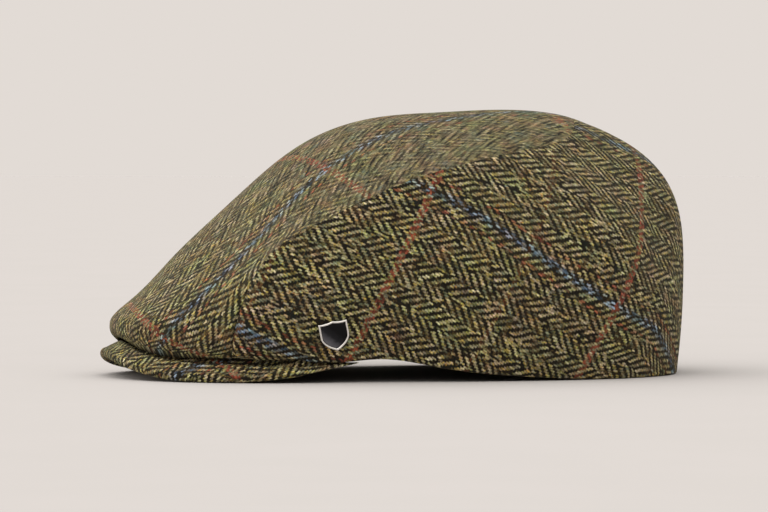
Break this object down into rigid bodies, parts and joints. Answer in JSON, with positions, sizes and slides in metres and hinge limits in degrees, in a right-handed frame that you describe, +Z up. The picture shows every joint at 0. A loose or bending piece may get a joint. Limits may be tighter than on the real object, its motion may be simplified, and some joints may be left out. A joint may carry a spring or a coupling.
{
  "type": "flat cap",
  "caption": "Flat cap in herringbone wool tweed: a top panel over rounded side panels, a short stiff peak under the front edge and a small shield pin badge on the left side.",
  "frame": {"origin": "bottom centre of the bounding box, on the surface that the cap rests on", "axes": "+Z up, the peak points to -Y, the wearer's left is +X"},
  "size_m": [0.1755, 0.2772, 0.1243],
  "materials": {
    "tweed": "napped wool herringbone tweed",
    "badge_metal": "polished nickel plate",
    "badge_enamel": "smooth dark enamel"
  },
  "bodies": {
    "root": {"top_panel": "tweed", "side_panel_left": "tweed", "side_panel_right": "tweed", "peak": "tweed", "badge_plate": "badge_metal", "badge_enamel": "badge_enamel"}
  },
  "joints": []
}
